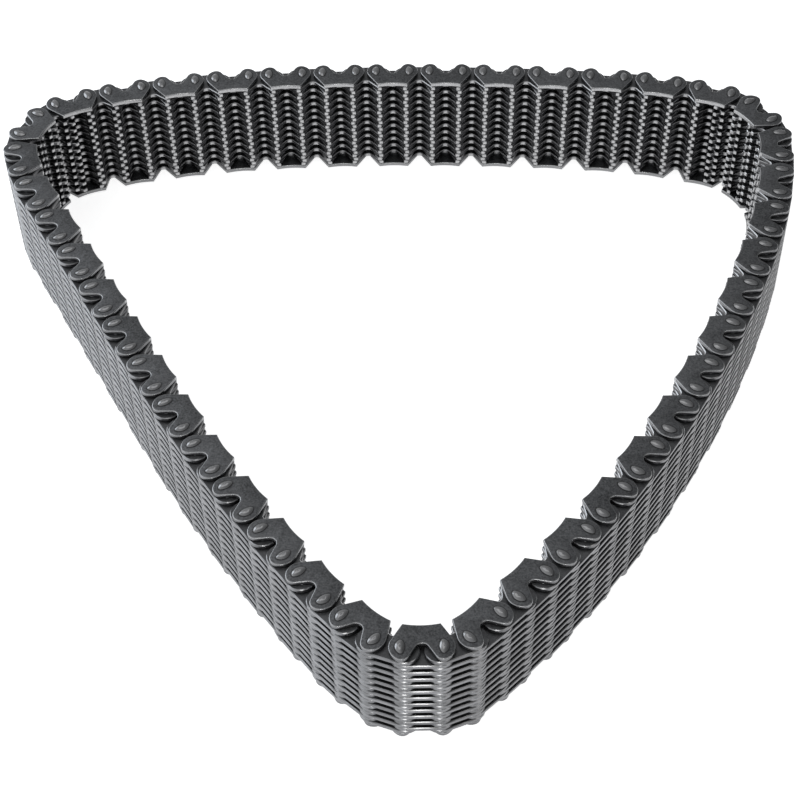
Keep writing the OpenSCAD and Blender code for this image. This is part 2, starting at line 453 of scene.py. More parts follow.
@dataclass
class RivetHead:
    """Domed head that a long pin's end is riveted into, on the face of a guide plate."""

    pin: RockerPin = field(default_factory=RockerPin)
    spread: float = 0.25
    horn_r: float = 2.25
    proud: float = 0.5
    clearance: float = 0.03
    side_steps: int = 8
    horn_steps: int = 3
    dome_round: float = 0.1
    dome_segments: int = 2
    crown_steps: tuple[Point, ...] = ((0.8, 0.16), (0.7, 0.12), (0.4, 0.06))

    @property
    def middle_x(self) -> float:
        """Distance of the head's middle from the link's middle."""
        return self.pin.pivot_x + (self.pin.rocker_gap / 2 + self.pin.back_r) / 2

    def outline(self) -> list[Point]:
        """The pin's section spread all round, with its two horns taken off."""
        back, face = self.pin.back_r + self.spread, self.pin.rocker_r + self.spread
        heel = crossing(self.pin.pivot_x, back, self.middle_x, self.horn_r)
        cheek = crossing(self.middle_x, self.horn_r, self.pin.rocker_x, face)
        turn, lean = bearing(self.pin.pivot_x, heel), bearing(self.pin.rocker_x, cheek)
        first, last = bearing(self.middle_x, heel), bearing(self.middle_x, cheek)
        rear = arc((self.pin.pivot_x, 0.0), back, -turn, turn, self.side_steps)
        horn = arc((self.middle_x, 0.0), self.horn_r, first, last, self.horn_steps)
        front = arc((self.pin.rocker_x, 0.0), face, lean, 360.0 - lean, self.side_steps)
        lower_horn = [(x, -y) for x, y in reversed(horn)]
        return rear + horn[1:] + front[1:] + lower_horn[1:-1]

    def build(self) -> Stamping:
        """Models the head above a plate's face at height 0.

        Returns:
            The finished stamping.
        """
        top = self.proud - sum(rise for _, rise in self.crown_steps)
        head = Bench.blank("rivet_head", self.outline(), self.clearance, top - self.clearance)
        Bench.round_edges(head, (top,), self.dome_round, self.dome_segments)
        for share, rise in self.crown_steps:
            Bench.crown(head, Vector((self.middle_x, 0.0, top)), share, rise)
            top += rise
        return Stamping.taken_from(head)


@dataclass
class GuidePlate(PlateBlank):
    """Outer plate with a solid inner edge, a notched back and two riveted pins."""

    edge_hollow: float = 0.55
    notch_depth: float = 1.1
    notch_r: float = 1.9
    notch_angle: float = 32.0
    shoulder_r: float = 2.4
    edge_steps: int = 8
    lobe_steps: int = 12
    shoulder_steps: int = 7
    notch_steps: int = 10
    edge_round: float = 0.26
    edge_segments: int = 3
    rivet_gap: float = 0.03
    pin: RockerPin = field(default_factory=RockerPin)

    def outline(self) -> list[Point]:
        """The plate's outline, anticlockwise from the left tip."""
        edge_r = (self.tip_x**2 + self.edge_hollow**2) / (2 * self.edge_hollow)
        edge_y = -self.tooth_depth + self.edge_hollow - edge_r
        half_edge = math.degrees(math.asin(self.tip_x / edge_r))
        inner = arc((0.0, edge_y), edge_r, 90.0 + half_edge, 90.0 - half_edge, self.edge_steps)
        lean = math.radians(self.notch_angle)
        notch_y = self.notch_r - self.notch_depth
        wall = self.pivot_x * math.cos(lean) + notch_y * math.sin(lean) - self.notch_r
        reach = self.lobe_r - self.shoulder_r
        turn = math.degrees(math.acos((self.shoulder_r - wall) / reach)) - self.notch_angle
        shoulder = (
            self.pivot_x + reach * math.cos(math.radians(turn)),
            reach * math.sin(math.radians(turn)),
        )
        right = arc((self.pivot_x, 0.0), self.lobe_r, -self.flank_angle, turn, self.lobe_steps)
        wall_turn = 180.0 - self.notch_angle
        right += arc(shoulder, self.shoulder_r, turn, wall_turn, self.shoulder_steps)[1:]
        foot = arc((0.0, notch_y), self.notch_r, -self.notch_angle, -wall_turn, self.notch_steps)
        return inner + right + foot + mirrored(right)

    def build(self) -> Stamping:
        """Models the plate: outline, rounded edges, then the two lens-shaped seats.

        Returns:
            The finished stamping.
        """
        plate = Bench.blank("guide_plate", self.outline(), 0.0, self.thickness)
        Bench.round_edges(plate, self.face_heights, self.edge_round, self.edge_segments)
        seat = self.pin.section(self.rivet_gap)
        for outline in (seat, mirrored(seat)):
            Bench.punch(plate, outline, self.thickness)
        return Stamping.taken_from(plate)


@dataclass
class LoopLayout:
    """Course of the loop: how many pivots each stretch has and how far each of them bends."""

    pitch: float = PITCH
    start_heading: float = 11.8
    corner_pivots: int = 4
    first_guess: Point = (19.0, 21.0)
    nudge: float = 0.01
    rounds: int = 8

    def bends(self, right: float, front: float) -> list[float]:
        """Bend at every pivot, clockwise seen from above.

        Args:
            right: Bend at each pivot of the right corner.
            front: Bend at each pivot of the front corner.

        Returns:
            The 84 bends in degrees; the left corner takes what is left of the full turn.
        """
        corner = self.corner_pivots
        # Each stretch has a number of pivots and the bend at each of them, in degrees.
        runs = [(6, 1.6), (12, 0.75), (4, 3.3), (corner, right), (4, 3.5), (14, 1.3), (6, 1.65)]
        runs += [(corner, front), (2, 5.2), (10, 0.9), (10, 0.0), (2, 6.2)]
        tail = (2, 5.4)
        used = sum(count * bend for count, bend in [*runs, tail])
        runs += [(corner, (360.0 - used) / corner), tail]
        return [bend for count, bend in runs for _ in range(count)]

    def headings(self, right: float, front: float) -> np.ndarray:
        """Direction of every link in degrees, for two corner bends."""
        turned = np.cumsum(self.bends(right, front))
        return self.start_heading - np.concatenate([[0.0], turned[:-1]])

    def miss(self, corners: np.ndarray) -> np.ndarray:
        """How far the loop fails to close, in pitches."""
        angles = np.radians(self.headings(*corners))
        return np.array([np.cos(angles).sum(), np.sin(angles).sum()])

    def solve(self) -> np.ndarray:
        """Finds the corner bends that close the loop.

        Returns:
            Direction of every link in degrees.
        """
        corners = np.array(self.first_guess)
        for _ in range(self.rounds):
            now = self.miss(corners)
            tries = [self.miss(corners + step) for step in self.nudge * np.eye(2)]
            slope = np.stack([(there - now) / self.nudge for there in tries], axis=1)
            corners = corners - np.linalg.solve(slope, now)
        return self.headings(*corners)

    def places(self) -> list[Matrix]:
        """Where each link's middle lies, with its X axis along the chain.

        Returns:
            One matrix for each of the 84 links, in millimetres.
        """
        angles = np.radians(self.solve())
        steps = self.pitch * np.stack([np.cos(angles), np.sin(angles)], axis=1)
        pivots = np.concatenate([[[0.0, 0.0]], np.cumsum(steps, axis=0)[:-1]])
        centre = (pivots.min(axis=0) + pivots.max(axis=0)) / 2
        middles = pivots + steps / 2 - centre
        return [
            Matrix.Translation((x, y, 0.0)) @ Matrix.Rotation(a, 4, "Z")
            for (x, y), a in zip(middles, angles, strict=True)
        ]


Value = float | bpy.types.NodeSocket
Tint = Colour | bpy.types.NodeSocket


class NodePad:
    """Shorthand for wiring the nodes of one material."""

    # A Mix node's colour sockets share their names with others, so they go by number.
    MIX_COLOURS = (6, 7)
    MIX_RESULT = 2
    NOISE_ROUGHNESS = 0.6
    NOISE_MIDDLE = 0.5

    def __init__(self, name: str) -> None:
        """Starts an empty material with an output.

        Args:
            name: Name of the material.
        """
        self.material = bpy.data.materials.new(name)
        self.material.use_nodes = True
        self.tree = self.material.node_tree
        self.tree.nodes.clear()
        self.out = self.tree.nodes.new("ShaderNodeOutputMaterial")

    def feed(self, socket: bpy.types.NodeSocket, value: Value | Tint) -> None:
        """Links a socket to another one, or sets its value.

        Args:
            socket: Input to feed.
            value: Output socket, number or colour.
        """
        if isinstance(value, bpy.types.NodeSocket):
            self.tree.links.new(value, socket)
        elif isinstance(value, tuple) and len(value) == 3 and socket.type == "RGBA":
            socket.default_value = (*value, 1.0)
        else:
            socket.default_value = value

    def attribute(self, name: str) -> bpy.types.Node:
        """A node that reads one of the piece's own attributes."""
        node = self.tree.nodes.new("ShaderNodeAttribute")
        node.attribute_name = name
        return node

    def split(self, vector: bpy.types.NodeSocket) -> bpy.types.Node:
        """A node that splits a vector into X, Y and Z."""
        node = self.tree.nodes.new("ShaderNodeSeparateXYZ")
        self.feed(node.inputs[0], vector)
        return node

    def math(
        self, kind: str, first: Value, second: Value, clamp: bool = False
    ) -> bpy.types.NodeSocket:
        """One arithmetic step.

        Args:
            kind: Blender's name of the operation.
            first: First number.
            second: Second number.
            clamp: True keeps the result between 0 and 1.

        Returns:
            The result's socket.
        """
        node = self.tree.nodes.new("ShaderNodeMath")
        node.operation = kind
        node.use_clamp = clamp
        self.feed(node.inputs[0], first)
        self.feed(node.inputs[1], second)
        return node.outputs[0]

    def chained(self, kind: str, values: Iterable[Value]) -> bpy.types.NodeSocket:
        """One arithmetic step over several numbers in turn.

        Args:
            kind: Blender's name of the operation.
            values: Two or more numbers.

        Returns:
            The result's socket.
        """
        result, *others = values
        for other in others:
            result = self.math(kind, result, other)
        return result

    def product(self, *values: Value) -> bpy.types.NodeSocket:
        """Two or more numbers multiplied."""
        return self.chained("MULTIPLY", values)

    def total(self, *values: Value) -> bpy.types.NodeSocket:
        """Two or more numbers added up."""
        return self.chained("ADD", values)

    def less(self, first: Value, second: Value) -> bpy.types.NodeSocket:
        """The first number less the second."""
        return self.math("SUBTRACT", first, second)

    def ramp(self, value: Value, span: Point, ends: Point = (0.0, 1.0)) -> bpy.types.NodeSocket:
        """A smooth step from one number to another.

        Args:
            value: What is read.
            span: Where the step begins and ends.
            ends: Result before the step and after it.

        Returns:
            The result's socket.
        """
        node = self.tree.nodes.new("ShaderNodeMapRange")
        node.interpolation_type = "SMOOTHSTEP"
        for index, number in enumerate((value, *span, *ends)):
            self.feed(node.inputs[index], number)
        return node.outputs[0]

    def height(self) -> bpy.types.NodeSocket:
        """Height above the floor in metres, on object coordinates."""
        place = self.tree.nodes.new("ShaderNodeTexCoord").outputs["Object"]
        return self.split(place).outputs["Z"]

    def mix(self, share: Value, first: Tint, second: Tint) -> bpy.types.NodeSocket:
        """A colour between two others.

        Args:
            share: 0 gives the first colour and 1 the second.
            first: First colour.
            second: Second colour.

        Returns:
            The mixed colour's socket.
        """
        node = self.tree.nodes.new("ShaderNodeMix")
        node.data_type = "RGBA"
        self.feed(node.inputs[0], share)
        for index, colour in zip(self.MIX_COLOURS, (first, second), strict=True):
            self.feed(node.inputs[index], colour)
        return node.outputs[self.MIX_RESULT]

    def scaled(self, colour: Tint, factor: Value) -> bpy.types.NodeSocket:
        """A colour made lighter or darker by a number.

        Args:
            colour: Colour to change.
            factor: Number that it is multiplied by.

        Returns:
            The new colour's socket.
        """
        node = self.tree.nodes.new("ShaderNodeVectorMath")
        node.operation = "SCALE"
        self.feed(node.inputs[0], colour)
        self.feed(node.inputs["Scale"], factor)
        return node.outputs[0]

    def noise(
        self, scale: float, detail: float, stretch: Place = (1.0, 1.0, 1.0)
    ) -> bpy.types.NodeSocket:
        """Noise on object coordinates, from about -0.5 to 0.5.

        Args:
            scale: Cells per metre.
            detail: Octaves.
            stretch: Scale along each axis.

        Returns:
            The noise's socket.
        """
        place = self.tree.nodes.new("ShaderNodeTexCoord").outputs["Object"]
        turn = self.tree.nodes.new("ShaderNodeMapping")
        turn.inputs["Scale"].default_value = stretch
        self.feed(turn.inputs["Vector"], place)
        node = self.tree.nodes.new("ShaderNodeTexNoise")
        node.inputs["Scale"].default_value = scale
        node.inputs["Detail"].default_value = detail
        node.inputs["Roughness"].default_value = self.NOISE_ROUGHNESS
        self.feed(node.inputs["Vector"], turn.outputs[0])
        return self.less(node.outputs["Fac"], self.NOISE_MIDDLE)


@dataclass(frozen=True)
class WearAndLightZones:
    """Wear, oil and painted light and shade as soft steps over a plate's X and Y in millimetres and
    over the height in metres.
    """

    # Where the painted shade in the tooth gaps begins and ends.
    gap_shade_y: Point = (-2.2, -3.6)
    apex_x: Point = (1.25, 0.5)
    apex_low_y: Point = (-4.6, -3.9)
    apex_high_y: Point = (1.0, 0.0)
    toe_blur: float = 0.15
    # Where the painted dimming along the back lies.
    back_inner_x: Point = (1.2, 3.4)
    back_outer_x: Point = (4.9, 4.3)
    back_y: Point = (3.4, 3.9)
    # Span of the oil and painted contact shadow round the heads.
    head_oil_and_shade_span: Point = (0.5, 0.05)
    # Heights over which the painted shade next to the floor fades, and how much highlight it leaves.
    floor_shade_height: Point = (1.6 * MM, 2.4 * MM)
    floor_shade_share: Point = (0.3, 1.0)


@dataclass(frozen=True)
class Texture:
    """Unevenness that all finishes share: the noises and how much each does, and how strong the
    painted highlight on rims in the tooth gaps is.
    """

    grain_scale: float = 1900.0
    grain_detail: float = 3.0
    cloud_scale: float = 190.0
    cloud_detail: float = 3.0
    streak_scale: float = 900.0
    streak_detail: float = 2.0
    streak_stretch: Place = (6.0, 6.0, 0.6)
    cloud_colour: float = 0.5
    streak_colour: float = 0.7
    face_tone: float = 0.16
    wall_tone: float = 0.22
    # Grain in the light colour of the worn places and painted highlights.
    rubbed_and_highlit_grain: float = 1.2
    rim_patches: Point = (-0.45, 0.1)
    rim_share: Point = (0.62, 1.0)
    # Share of the painted highlight on the rims in the tooth gaps.
    gap_rim_highlight: float = 0.85
    grain_rough: float = 0.2
    streak_rough: float = 0.16
    bump_strength: float = 0.5


ZONES = WearAndLightZones()
TEXTURE = Texture()


class SteelPad(NodePad):
    """Nodes of a steel, with what it reads off a piece: place on the plate, marks and noises."""

    def __init__(self, name: str) -> None:
        """Starts the material and wires what is read.

        Args:
            name: Name of the material.
        """
        super().__init__(name)
        spot = self.split(self.attribute("spot").outputs["Vector"])
        self.x = self.math("ABSOLUTE", spot.outputs["X"], 0.0)
        self.y = spot.outputs["Y"]
        self.wall = self.attribute("wall").outputs["Fac"]
        self.rim = self.attribute("rim").outputs["Fac"]
        self.tone = self.attribute("tone").outputs["Fac"]
        self.grain = self.noise(TEXTURE.grain_scale, TEXTURE.grain_detail)
        self.cloud = self.noise(TEXTURE.cloud_scale, TEXTURE.cloud_detail)
        self.streak = self.noise(TEXTURE.streak_scale, TEXTURE.streak_detail, TEXTURE.streak_stretch)


@dataclass(frozen=True)
class SteelFinish:
    """Oiled dark steel: dull stamped faces, lighter cut walls and worn bright rims, with painted
    highlights on tips, crotch, back and gap rims, and painted shade in the tooth gaps and round the
    heads.
    """

    name: str
    face: Colour
    wall: Colour
    rim: Colour
    face_rough: float
    rim_rough: float
    grain: float
    grain_depth: float
    # Light colour of the worn places, also used for painted highlights.
    bare_and_highlight: Colour = (0.3, 0.3, 0.304)
    # Dark colour of the oil round the heads and of the painted shade in the tooth gaps.
    soot_and_shade: Colour = (0.05, 0.05, 0.05)
    wall_rough: float = 0.36
    # Strength of the painted shade in the tooth gaps.
    gap_shade_strength: float = 0.0
    toe_line: float = -7.2
    # Strengths of the painted highlights, partly wear, on the tooth tips and the crotch apex.
    toe_wear_and_highlight: float = 0.0
    apex_wear_and_highlight: float = 0.0
    # Strength of the painted dimming that leaves a highlight in the middle of the back.
    back_highlight_falloff: float = 0.0
    # Strength of the oil and painted contact shadow round the heads.
    ring_oil_and_shade: float = 0.0

    @staticmethod
    def oil_and_shade_by_head(pad: SteelPad) -> bpy.types.NodeSocket:
        """1 beside a riveted head, where oil and dust gather and a contact shadow is painted,
        falling to 0 a little way off.

        Args:
            pad: Where the nodes go.

        Returns:
            The result's socket.
        """
        head = RivetHead()
        discs = (
            (head.pin.pivot_x, head.pin.back_r + head.spread),
            (head.pin.rocker_x, head.pin.rocker_r + head.spread),
            (head.middle_x, head.horn_r),
        )
        beyond = []
        for centre, radius in discs:
            across = pad.math("POWER", pad.less(pad.x, centre), 2.0)
            square = pad.total(across, pad.math("POWER", pad.y, 2.0))
            beyond.append(pad.less(pad.math("SQRT", square, 0.0), radius))
        return pad.ramp(pad.chained("MAXIMUM", beyond), ZONES.head_oil_and_shade_span)

    def rubbed_and_highlit(self, pad: SteelPad) -> bpy.types.NodeSocket:
        """1 where the crotch and the tooth tips are worn bright and carry a painted highlight, and
        where a guide plate's notch bottom and inner edge carry a painted highlight, 0 elsewhere.

        Args:
            pad: Where the nodes go.

        Returns:
            The result's socket.
        """
        # Painted highlight with wear on the rounded crotch apex.
        apex = pad.product(
            pad.ramp(pad.x, ZONES.apex_x),
            pad.ramp(pad.y, ZONES.apex_low_y),
            pad.ramp(pad.y, ZONES.apex_high_y),
            self.apex_wear_and_highlight,
        )
        # Painted highlight with wear on the tooth tips, and painted highlight on a guide plate's
        # inner edge.
        toe_span = (self.toe_line + ZONES.toe_blur, self.toe_line - ZONES.toe_blur)
        toe = pad.product(
            pad.ramp(pad.y, toe_span),
            # Painted shade: the painted highlight on the tips dims on the lowest plates, next to the
            # floor.
            pad.ramp(pad.height(), ZONES.floor_shade_height, ZONES.floor_shade_share),
            self.toe_wear_and_highlight,
        )
        return pad.math("MAXIMUM", apex, toe, clamp=True)

    def colour(self, pad: SteelPad) -> bpy.types.NodeSocket:
        """Colour of the faces, the walls and the rims.

        Args:
            pad: Where the nodes go.

        Returns:
            The colour's socket.
        """
        blotch = pad.product(pad.cloud, TEXTURE.cloud_colour)
        speckle = pad.product(pad.grain, self.grain)
        face_tone = pad.product(pad.tone, TEXTURE.face_tone)
        face = pad.scaled(self.face, pad.total(speckle, blotch, face_tone, 1.0))
        # Oil with painted contact shadow: the face darkens round each head.
        oiled_and_shaded = pad.product(self.oil_and_shade_by_head(pad), self.ring_oil_and_shade)
        face = pad.mix(oiled_and_shaded, face, self.soot_and_shade)

        drawn = pad.product(pad.streak, TEXTURE.streak_colour)
        wall_tone = pad.product(pad.tone, TEXTURE.wall_tone)
        wall = pad.scaled(self.wall, pad.total(drawn, wall_tone, blotch, 1.0))
        # Painted highlight with wear: the tips and the crotch take the light colour of worn steel.
        bare_and_highlight = self.rubbed_and_highlit(pad)
        # Painted shade: below the crotch the walls in the tooth gaps darken to the dark colour,
        # except where the painted highlight lies.
        hollow = pad.product(pad.ramp(pad.y, ZONES.gap_shade_y), pad.less(1.0, bare_and_highlight), self.gap_shade_strength)
        wall = pad.mix(hollow, wall, self.soot_and_shade)
        speckled = pad.total(pad.product(pad.grain, TEXTURE.rubbed_and_highlit_grain), 1.0)
        wall = pad.mix(bare_and_highlight, wall, pad.scaled(self.bare_and_highlight, speckled))

        # Painted highlight: the rims along the back are dimmed towards the ends of the flat back, so
        # a bright core stays in the middle.
        painted_falloff = pad.product(
            pad.ramp(pad.x, ZONES.back_inner_x),
            pad.ramp(pad.x, ZONES.back_outer_x),
            pad.ramp(pad.y, ZONES.back_y),
            self.back_highlight_falloff,
        )
        rim = pad.scaled(self.rim, pad.less(1.0, painted_falloff))
        # Painted highlight: rims in the tooth gaps and at the worn places take the light colour of
        # worn steel.
        bright = pad.math("MAXIMUM", bare_and_highlight, pad.product(hollow, TEXTURE.gap_rim_highlight))
        rim = pad.mix(bright, rim, self.bare_and_highlight)
        patches = pad.total(pad.cloud, pad.grain)
        worn = pad.product(pad.rim, pad.ramp(patches, TEXTURE.rim_patches, TEXTURE.rim_share))
        return pad.mix(worn, pad.mix(pad.wall, face, wall), rim)

    def roughness(self, pad: SteelPad) -> bpy.types.NodeSocket:
        """Roughness of the faces, the walls and the rims.

        Args:
            pad: Where the nodes go.

        Returns:
            The roughness's socket.
        """
        face = pad.total(self.face_rough, pad.product(pad.grain, TEXTURE.grain_rough))
        wall = pad.total(self.wall_rough, pad.product(pad.streak, TEXTURE.streak_rough))
        rough = pad.total(face, pad.product(pad.wall, pad.less(wall, face)))
        to_rim = pad.product(pad.rim, pad.less(self.rim_rough, rough))
        return pad.math("ADD", rough, to_rim, clamp=True)

    def material(self) -> bpy.types.Material:
        """Wires the finish.

        Returns:
            The new material.
        """
        pad = SteelPad(self.name)
        bump = pad.tree.nodes.new("ShaderNodeBump")
        bump.inputs["Strength"].default_value = TEXTURE.bump_strength
        bump.inputs["Distance"].default_value = self.grain_depth
        pad.feed(bump.inputs["Height"], pad.total(pad.grain, pad.product(pad.streak, pad.wall)))
        steel = pad.tree.nodes.new("ShaderNodeBsdfPrincipled")
        steel.inputs["Metallic"].default_value = 1.0
        pad.feed(steel.inputs["Base Color"], self.colour(pad))
        pad.feed(steel.inputs["Roughness"], self.roughness(pad))
        pad.feed(steel.inputs["Normal"], bump.outputs[0])
        pad.feed(pad.out.inputs["Surface"], steel.outputs[0])
        return pad.material


FINISHES = {
    Slot.GUIDE_PLATE: SteelFinish(
        name="guide_plate_steel",
        face=(0.108, 0.11, 0.114),
        wall=(0.17, 0.172, 0.178),
        rim=(0.3, 0.302, 0.308),
        bare_and_highlight=(0.46, 0.46, 0.465),
        soot_and_shade=(0.025, 0.025, 0.026),
        face_rough=0.46,
        rim_rough=0.26,
        grain=2.2,
        grain_depth=0.00004,
        # Painted highlights on the inner edge and the notch bottom.
        toe_line=-6.7,
        toe_wear_and_highlight=0.75,
        apex_wear_and_highlight=0.15,
        # Oil with painted contact shadow round the heads.
        ring_oil_and_shade=0.75,
    ),
    Slot.LINK_PLATE: SteelFinish(
        name="link_plate_steel",
        face=(0.09, 0.091, 0.094),
        wall=(0.195, 0.197, 0.205),
        rim=(0.26, 0.262, 0.268),
        bare_and_highlight=(0.44, 0.44, 0.445),
        soot_and_shade=(0.06, 0.06, 0.063),
        face_rough=0.45,
        rim_rough=0.3,
        grain=1.2,
        grain_depth=0.00002,
        # Painted shade in the tooth gaps.
        gap_shade_strength=0.85,
        # Painted highlights with wear on the tips and the crotch apex.
        toe_wear_and_highlight=0.95,
        apex_wear_and_highlight=0.75,
        # Painted highlight in the middle of the back.
        back_highlight_falloff=0.55,
    ),
    Slot.ROCKER_PIN: SteelFinish(
        name="rocker_pin_steel",
        face=(0.2, 0.2, 0.204),
        wall=(0.1, 0.1, 0.103),
        rim=(0.26, 0.26, 0.264),
        face_rough=0.34,
        rim_rough=0.14,
        grain=1.0,
        grain_depth=0.000015,
    ),
}


@dataclass
class Chain:
    """The whole chain: its stampings, its layout and the pieces made for every body."""

    inner_plates: int = 12
    layer_pitch: float = 1.53
    pin_proud: float = 0.5
    open_pivot: int = 11
    open_gap: float = 0.1
    sharp_angle: float = 32.0
    layout: LoopLayout = field(default_factory=LoopLayout)
    link_plate: LinkPlate = field(default_factory=LinkPlate)
    guide_plate: GuidePlate = field(default_factory=GuidePlate)
    places: list[Matrix] = field(init=False)
    stamped_link: Stamping = field(init=False)
    stamped_guide: Stamping = field(init=False)
    stamped_head: Stamping = field(init=False)
    pins: dict[tuple[Rank, bool], Stamping] = field(init=False)
    finishes: dict[Slot, bpy.types.Material] = field(init=False)

    @property
    def layers(self) -> int:
        """Plates across the width."""
        return 2 * self.inner_plates + 1

    @property
    def stack_width(self) -> float:
        """Width over the guide plates."""
        return (self.layers - 1) * self.layer_pitch + self.link_plate.thickness

    def model(self) -> None:
        """Models the stampings and finishes and works out where the links lie."""
        self.places = self.layout.places()
        self.stamped_link = self.link_plate.build()
        self.stamped_guide = self.guide_plate.build()
        self.stamped_head = RivetHead(proud=self.pin_proud).build()
        root = self.pin_proud / 2
        spans = {
            Rank.GUIDE: (root, self.stack_width + 2 * root),
            Rank.INNER: (self.pin_proud + self.layer_pitch, self.stack_width - 2 * self.layer_pitch),
        }
        self.pins = {
            (rank, thin): RockerPin().build(foot, length, -self.open_gap if thin else 0.0)
            for rank, (foot, length) in spans.items()
            for thin in (False, True)
        }
        self.finishes = {slot: finish.material() for slot, finish in FINISHES.items()}

    @staticmethod
    def tone(link: int, level: int) -> float:
        """A fixed lightness for one plate, from -1 to 1."""
        mixed = math.sin(link * TONE_PER_LINK + level * TONE_PER_LEVEL) * TONE_SPREAD
        return 2.0 * (mixed - math.floor(mixed)) - 1.0

    def links_of(self, body: str) -> list[tuple[Rank, int]]:
        """The links that one body carries.

        Args:
            body: Body name, which ends in the section's number.

        Returns:
            Rank and index round the loop of each link.
        """
        section = int(body[-2:])
        guide = (Rank.GUIDE, 2 * (section - 1))
        inner = (Rank.INNER, 2 * section - 1)
        if body.startswith("link_pair"):
            return [guide, inner]
        return [guide] if body.startswith("guide") else [inner]

    def at_level(self, link: int, level: int) -> Matrix:
        """Place of a plate: its link's place, raised to a layer."""
        return self.places[link] @ raised(self.pin_proud + level * self.layer_pitch)

    def plates(
        self, stamping: Stamping, links: list[tuple[Rank, int]], levels: dict[Rank, Iterable[int]]
    ) -> list[Copy]:
        """Copies of a plate for a body's links.

        Args:
            stamping: The plate.
            links: Rank and index of the body's links.
            levels: Layers that the plate takes in each rank of link.

        Returns:
            The copies.
        """
        return [
            Copy(stamping, self.at_level(link, level), self.tone(link, level))
            for rank, link in links
            for level in levels[rank]
        ]

    def rocker_pins(self, links: list[tuple[Rank, int]]) -> list[Copy]:
        """Copies of the rocker pins and their heads at both ends of a body's links.

        Args:
            links: Rank and index of the body's links.

        Returns:
            The copies.
        """
        half_turn = Matrix.Rotation(math.pi, 4, "Z")
        upper = raised(self.pin_proud + self.stack_width)
        lower = raised(self.pin_proud) @ Matrix.Rotation(math.pi, 4, "X")
        made = []
        for rank, link in links:
            ends = ((link, Matrix.Identity(4)), ((link - 1) % len(self.places), half_turn))
            for pivot, turn in ends:
                place, tone = self.places[link] @ turn, self.tone(link, pivot)
                made.append(Copy(self.pins[rank, pivot == self.open_pivot], place, tone))
                if rank is Rank.GUIDE:
                    made += [Copy(self.stamped_head, place @ end, tone) for end in (upper, lower)]
        return made

    def piece(self, name: str, copies: list[Copy], slot: Slot) -> bpy.types.Object:
        """Joins copies into one piece, in metres, and dresses it.

        Args:
            name: Name of the piece.
            copies: Copies that it is made of.
            slot: Material slot that it takes its finish from.

        Returns:
            The finished object.
        """
        points, faces, spots, walls, rims, tones = [], [], [], [], [], []
        start = 0
        for copy in copies:
            local = copy.stamping.points
            turn = np.array(copy.place.to_3x3())
            points.append((local @ turn.T + np.array(copy.place.translation)) * MM)
            faces += [tuple(start + corner for corner in face) for face in copy.stamping.faces]
            spots.append(local)
            walls.append(copy.stamping.wall)
            rims.append(copy.stamping.rim)
            tones.append(np.full(len(copy.stamping.faces), copy.tone))
            start += len(local)
        mesh = bpy.data.meshes.new(name)
        mesh.from_pydata(np.concatenate(points).tolist(), [], faces)
        mesh.attributes.new("spot", "FLOAT_VECTOR", "POINT").data.foreach_set(
            "vector", np.concatenate(spots).astype(np.float32).ravel()
        )
        for label, parts in (("wall", walls), ("rim", rims), ("tone", tones)):
            mesh.attributes.new(label, "FLOAT", "FACE").data.foreach_set(
                "value", np.concatenate(parts).astype(np.float32)
            )
        curved = (np.concatenate(walls) + np.concatenate(rims)) > 0
        mesh.polygons.foreach_set("use_smooth", curved)
        mesh.set_sharp_from_angle(angle=math.radians(self.sharp_angle))
        mesh.materials.append(self.finishes[slot])
        mesh.update()
        made = bpy.data.objects.new(name, mesh)
        bpy.context.scene.collection.objects.link(made)
        return made

    def dress(self, body: str, nodes: list[str]) -> None:
        """Makes the pieces of one body and lets them stand for its solids.

        Args:
            body: Name of the body.
            nodes: Names of its solids' nodes.
        """
        links, top = self.links_of(body), self.layers - 1
        guides = self.plates(self.stamped_guide, links, {Rank.GUIDE: (0, top), Rank.INNER: ()})
        between = {Rank.GUIDE: range(2, top, 2), Rank.INNER: range(1, top, 2)}
        toothed = self.plates(self.stamped_link, links, between)
        kinds = (
            ("guide_plates", guides, Slot.GUIDE_PLATE, ("guide_plate",)),
            ("link_plates", toothed, Slot.LINK_PLATE, ("link_plates", "inner_plates")),
            ("rocker_pins", self.rocker_pins(links), Slot.ROCKER_PIN, ("long_pins", "short_pins")),
        )
        for label, copies, slot, own in kinds:
            if not copies:
                continue
            made = self.piece(f"{body}_{label}", copies, slot)
            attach(made, body)
            matching = [node for node in nodes if node.startswith(own)]
            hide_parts(*(matching or nodes))
            LOG.info("%s: %d copies, %d faces", made.name, len(copies), len(made.data.polygons))


@dataclass(frozen=True)
class Lamp:
    """A square soft lamp, in metres and watts."""

    name: str
    place: Place
    size: float
    power: float
    tint: Colour


LAMPS = (
    Lamp("key_lamp", place=(-0.02, -0.72, 0.42), size=0.14, power=0.9, tint=(1.0, 0.99, 0.97)),
    Lamp("left_front_lamp", place=(-0.85, -0.3, 0.36), size=0.6, power=0.8, tint=(0.85, 0.92, 1.0)),
    Lamp("left_back_lamp", place=(-0.75, 0.45, 0.36), size=0.7, power=2.4, tint=(0.85, 0.92, 1.0)),
    Lamp("right_lamp", place=(0.55, -0.55, 0.4), size=0.25, power=0.35, tint=(1.0, 0.98, 0.95)),
    Lamp("top_lamp", place=(-0.1, 0.28, 0.72), size=0.4, power=0.3, tint=(1.0, 1.0, 1.0)),
)


